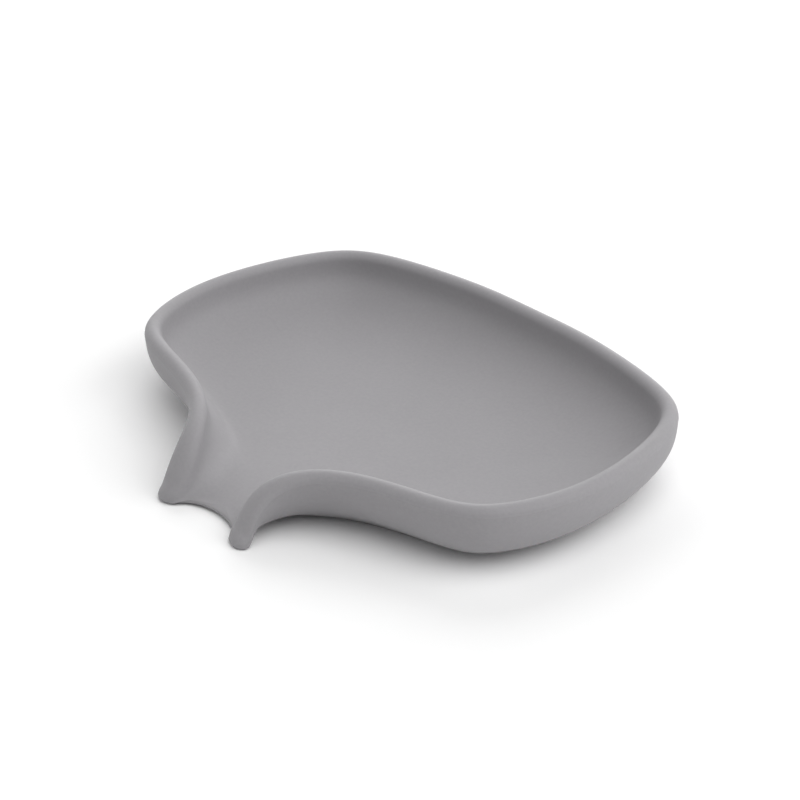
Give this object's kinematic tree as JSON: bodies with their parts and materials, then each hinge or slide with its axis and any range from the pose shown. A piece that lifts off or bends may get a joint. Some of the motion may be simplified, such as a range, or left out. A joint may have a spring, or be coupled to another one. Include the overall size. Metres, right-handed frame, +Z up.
{
  "type": "soap dish",
  "caption": "Fan-shaped soft soap dish: a shallow bowl with a full-round rim and a forked spout that drains water over a low lip.",
  "frame": {"origin": "centre of the dish's footprint on the table, at the underside", "axes": "+Z up, +X across the dish along its longest extent, the spout points along -Y"},
  "size_m": [0.1428, 0.1102, 0.0187],
  "materials": {
    "silicone": "matt mid-grey silicone rubber with a soft sheen, moulded in one piece"
  },
  "bodies": {
    "root": {"dish": "silicone"}
  },
  "joints": []
}
